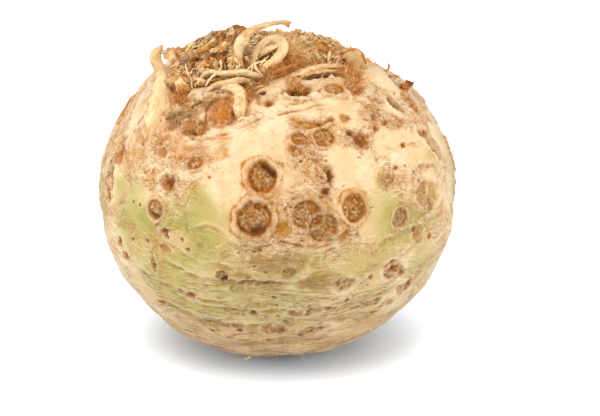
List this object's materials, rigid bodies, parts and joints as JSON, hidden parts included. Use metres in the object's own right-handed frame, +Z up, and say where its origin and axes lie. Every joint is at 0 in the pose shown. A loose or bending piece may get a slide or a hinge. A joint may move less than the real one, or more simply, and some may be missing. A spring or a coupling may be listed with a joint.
{
  "type": "celeriac root",
  "caption": "Whole celeriac lying root end up on a small flat spot, with knobbly skin, root scars and free curled roots on its crown.",
  "frame": {"origin": "middle of the flat spot that the celeriac rests on, on the surface under it", "axes": "+Z up, from the leaf end through the root crown; -Y is the front that the free roots and the large scars face; +X to the right seen from the front"},
  "size_m": [0.1234, 0.1218, 0.1234],
  "materials": {
    "skin": "uneven living skin, cream to yellow-green, with brown corky scars and cracks",
    "root_cream": "smooth cream root skin with brown stains",
    "root_brown": "dry, rough, brown root ends"
  },
  "bodies": {
    "root": {"celeriac_body": "skin", "left_root": "root_cream", "arching_root": "root_cream", "looped_root": "root_cream", "upper_strap_root": "root_cream", "lower_strap_root": "root_cream", "right_curl_rootlet": "root_brown", "crown_stub_left": "root_brown", "crown_stub_middle": "root_brown", "crown_stub_peak": "root_brown", "crown_stub_right": "root_brown", "crown_stub_back": "root_brown", "right_knob_root": "root_cream", "right_curled_stub": "root_brown", "back_left_root": "root_cream", "back_root": "root_cream", "back_right_root": "root_cream"}
  },
  "joints": []
}
